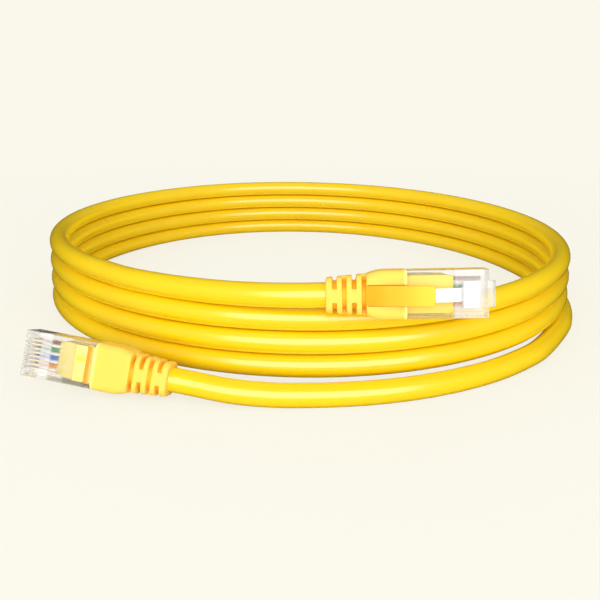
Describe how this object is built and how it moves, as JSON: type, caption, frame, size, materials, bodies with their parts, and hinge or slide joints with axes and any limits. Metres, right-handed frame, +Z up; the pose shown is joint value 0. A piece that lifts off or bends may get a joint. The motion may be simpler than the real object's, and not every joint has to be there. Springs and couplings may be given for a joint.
{
  "type": "ethernet patch cable",
  "caption": "Yellow network patch cable in a loose round coil, with a clear modular plug and a ribbed snagless boot at both ends",
  "frame": {"origin": "middle of the cable's footprint, on the surface it lies on, about the middle of the coil", "axes": "+Z up; +X to the right and -Y towards the side where both plugs lie; plug A points to -X and plug B to +X"},
  "size_m": [0.1856, 0.1911, 0.0353],
  "materials": {
    "jacket": "soft PVC cable jacket, satin, bright yellow",
    "boot": "soft PVC overmould, matte, bright yellow",
    "clear_housing": "clear polycarbonate, polished",
    "clear_latch": "clear polycarbonate, polished",
    "moulded_core": "translucent pale yellow filling",
    "gold_contact": "gold-plated, polished",
    "copper": "bare stranded copper",
    "wire_white_orange": "white with orange stripe",
    "wire_orange": "orange",
    "wire_white_green": "white with green stripe",
    "wire_blue": "blue",
    "wire_white_blue": "white with blue stripe",
    "wire_green": "green",
    "wire_white_brown": "white with brown stripe",
    "wire_brown": "brown"
  },
  "bodies": {
    "cable": {"coil": "jacket", "lead_a": "jacket", "lead_b": "jacket", "plug_a_housing": "clear_housing", "plug_a_boot": "boot", "plug_a_moulded_core": "moulded_core", "plug_a_jacket_end": "jacket", "plug_a_contacts": "gold_contact", "plug_a_copper_cores": "copper", "plug_a_wire_1_white_orange": "wire_white_orange", "plug_a_wire_2_orange": "wire_orange", "plug_a_wire_3_white_green": "wire_white_green", "plug_a_wire_4_blue": "wire_blue", "plug_a_wire_5_white_blue": "wire_white_blue", "plug_a_wire_6_green": "wire_green", "plug_a_wire_7_white_brown": "wire_white_brown", "plug_a_wire_8_brown": "wire_brown", "plug_b_housing": "clear_housing", "plug_b_boot": "boot", "plug_b_moulded_core": "moulded_core", "plug_b_jacket_end": "jacket", "plug_b_contacts": "gold_contact", "plug_b_copper_cores": "copper", "plug_b_wire_1_white_orange": "wire_white_orange", "plug_b_wire_2_orange": "wire_orange", "plug_b_wire_3_white_green": "wire_white_green", "plug_b_wire_4_blue": "wire_blue", "plug_b_wire_5_white_blue": "wire_white_blue", "plug_b_wire_6_green": "wire_green", "plug_b_wire_7_white_brown": "wire_white_brown", "plug_b_wire_8_brown": "wire_brown"},
    "latch_cover_a": {"plug_a_latch_cover": "boot"},
    "latch_a": {"plug_a_latch": "clear_latch"},
    "latch_cover_b": {"plug_b_latch_cover": "boot"},
    "latch_b": {"plug_b_latch": "clear_latch"}
  },
  "joints": [
    {"name": "latch_cover_a_press", "type": "hinge", "parent": "cable", "child": "latch_cover_a", "pos_m": [-0.04368, -0.0827, 0.00506], "axis": [0.1601, 0.3173, 0.9347], "range_deg": [0, 7.2], "stiffness_Nm_per_rad": 0.03},
    {"name": "latch_a_press", "type": "hinge", "parent": "cable", "child": "latch_a", "pos_m": [-0.07141, -0.07736, 0.00799], "axis": [-0.1601, -0.3173, -0.9347], "range_deg": [0, 7], "stiffness_Nm_per_rad": 0.03},
    {"name": "latch_cover_b_press", "type": "hinge", "parent": "cable", "child": "latch_cover_b", "pos_m": [0.01499, -0.09006, 0.02865], "axis": [-0.0326, 0.2266, 0.9734], "range_deg": [0, 7.2], "stiffness_Nm_per_rad": 0.03},
    {"name": "latch_b_press", "type": "hinge", "parent": "cable", "child": "latch_b", "pos_m": [0.04334, -0.09125, 0.02988], "axis": [0.0326, -0.2266, -0.9734], "range_deg": [0, 7], "stiffness_Nm_per_rad": 0.03}
  ],
  "couplings": [
    {"joint": "latch_a_press", "follows": "latch_cover_a_press", "ratio": 0.9586},
    {"joint": "latch_b_press", "follows": "latch_cover_b_press", "ratio": 0.9586}
  ]
}
